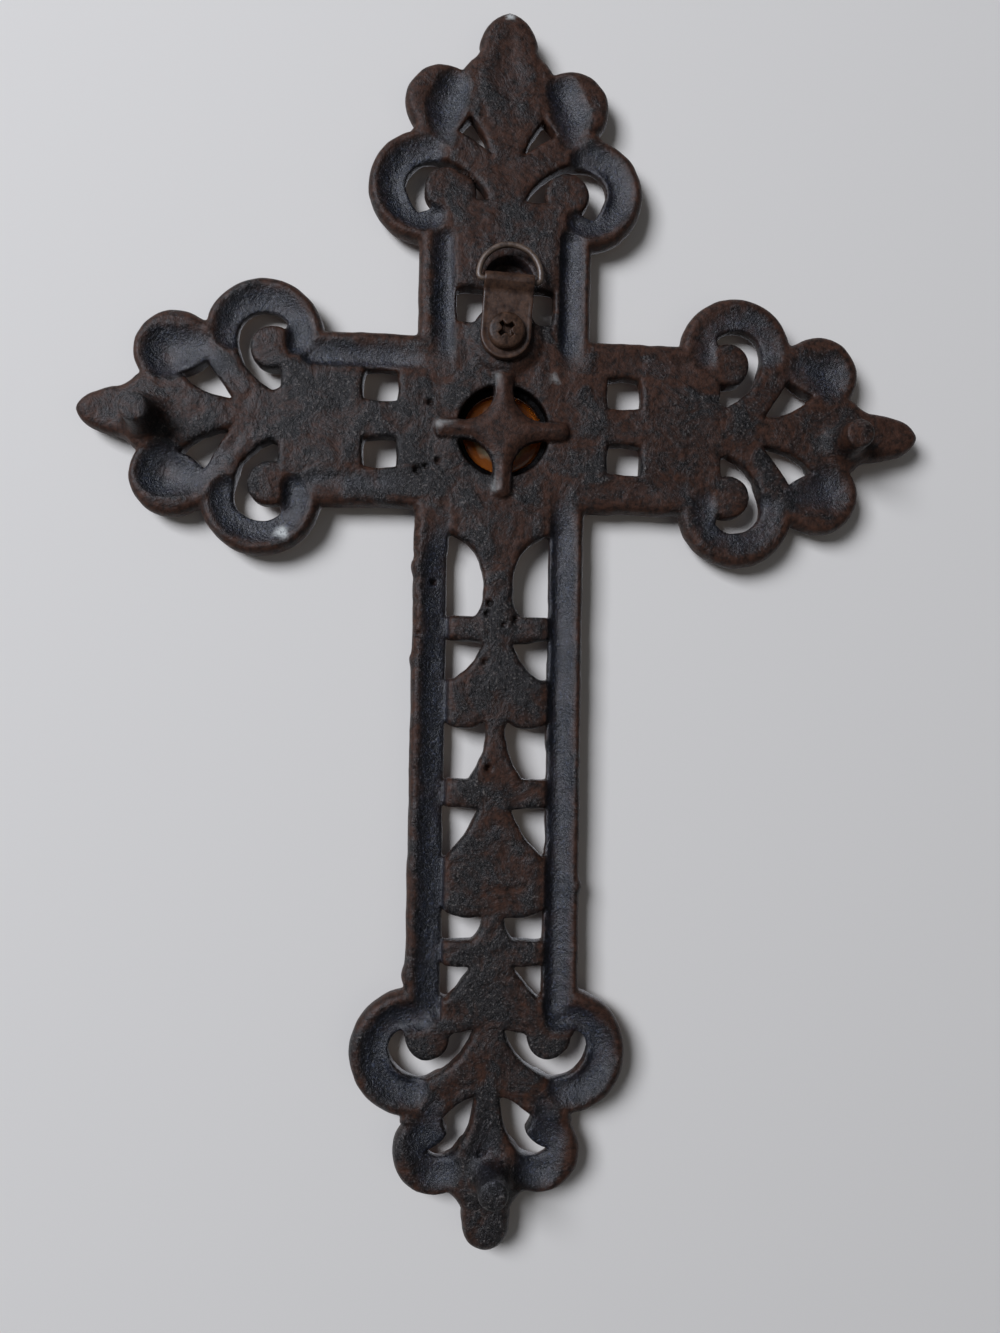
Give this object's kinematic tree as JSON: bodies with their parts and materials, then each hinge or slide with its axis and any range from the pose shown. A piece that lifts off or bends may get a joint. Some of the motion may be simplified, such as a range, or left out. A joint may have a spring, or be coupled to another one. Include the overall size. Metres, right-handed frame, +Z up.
{
  "type": "cast iron wall cross with a glass stone",
  "caption": "Openwork iron wall cross with flowered ends, a round glass stone behind a star at the crossing, standoff pegs and a hinged hanging ring on its back.",
  "frame": {"origin": "where a nail bears inside the top of the hanging ring, in the ring's plane", "axes": "+Z up along the shaft, +Y out of the back towards the wall, +X to the left when the back is looked at"},
  "size_m": [0.2116, 0.0194, 0.308],
  "materials": {
    "iron": "sand cast, painted black-blue and rubbed brown on its high places",
    "amber_glass": "polished amber glass",
    "painted_sheet": "brown paint, satin",
    "painted_wire": "brown paint, semi-gloss",
    "painted_screw": "brown paint, semi-gloss"
  },
  "bodies": {
    "cross": {"cross_casting": "iron", "glass_stone": "amber_glass", "hanger_strap": "painted_sheet", "hanger_screw": "painted_screw"},
    "ring": {"hanger_ring": "painted_wire"}
  },
  "joints": [
    {"name": "ring_hinge", "type": "hinge", "parent": "cross", "child": "ring", "pos_m": [0.00007, 0, -0.0083], "axis": [-0.9986, 0, -0.0523], "range_deg": [-12, 160]}
  ]
}
